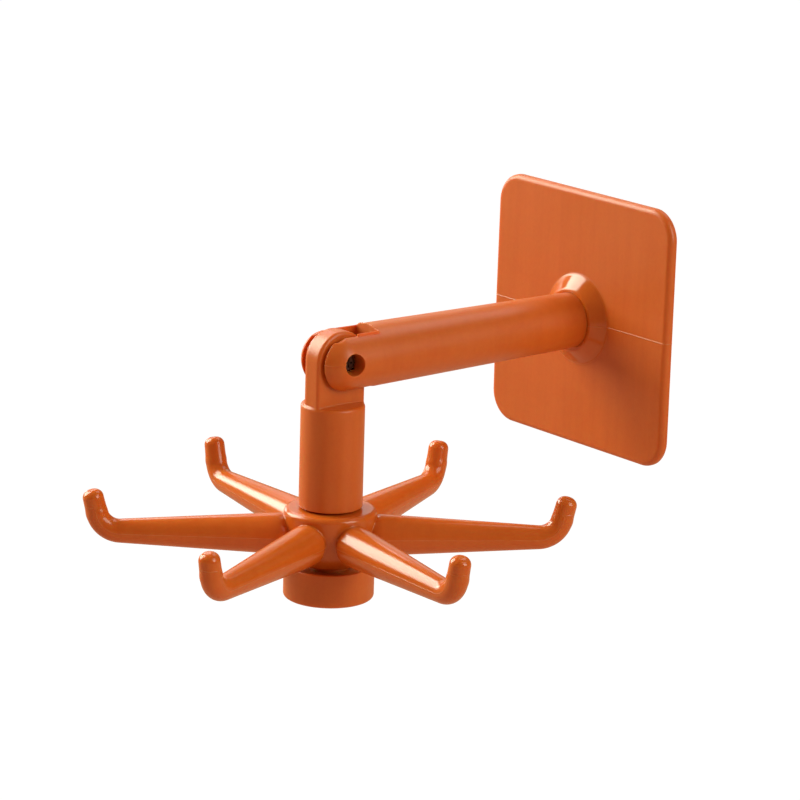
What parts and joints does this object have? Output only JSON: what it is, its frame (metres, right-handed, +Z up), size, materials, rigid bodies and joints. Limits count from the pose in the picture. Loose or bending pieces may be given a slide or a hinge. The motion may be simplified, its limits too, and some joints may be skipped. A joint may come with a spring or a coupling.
{
  "type": "rotating kitchen hook",
  "caption": "Square adhesive wall plate with a rigid arm, a folding post in the arm's fork and a turning star of upturned hooks under it.",
  "frame": {"origin": "middle of the adhesive pad's back face, which sticks to the wall", "axes": "+Z up, +Y into the wall, the arm along -Y, the pivot axis along X"},
  "size_m": [0.1256, 0.1433, 0.0974],
  "materials": {
    "satin_orange_plastic": "satin, finely textured moulding",
    "gloss_orange_plastic": "polished moulding",
    "dark_steel": "black oxide",
    "adhesive_film": "milky acrylic film"
  },
  "bodies": {
    "bracket": {"adhesive_pad": "adhesive_film", "wall_plate": "satin_orange_plastic", "arm": "satin_orange_plastic", "arm_screw": "dark_steel", "pivot_screw": "dark_steel"},
    "hanger": {"post": "satin_orange_plastic", "bottom_cap": "satin_orange_plastic", "cap_screw": "dark_steel"},
    "star": {"hook_star": "gloss_orange_plastic"}
  },
  "joints": [
    {"name": "post_fold", "type": "hinge", "parent": "bracket", "child": "hanger", "pos_m": [0, -0.08525, 0], "axis": [-1, 0, 0], "range_deg": [-5, 180]},
    {"name": "star_spin", "type": "hinge", "parent": "hanger", "child": "star", "pos_m": [0, -0.08525, -0.0464], "axis": [0, 0, 1], "continuous": true}
  ]
}
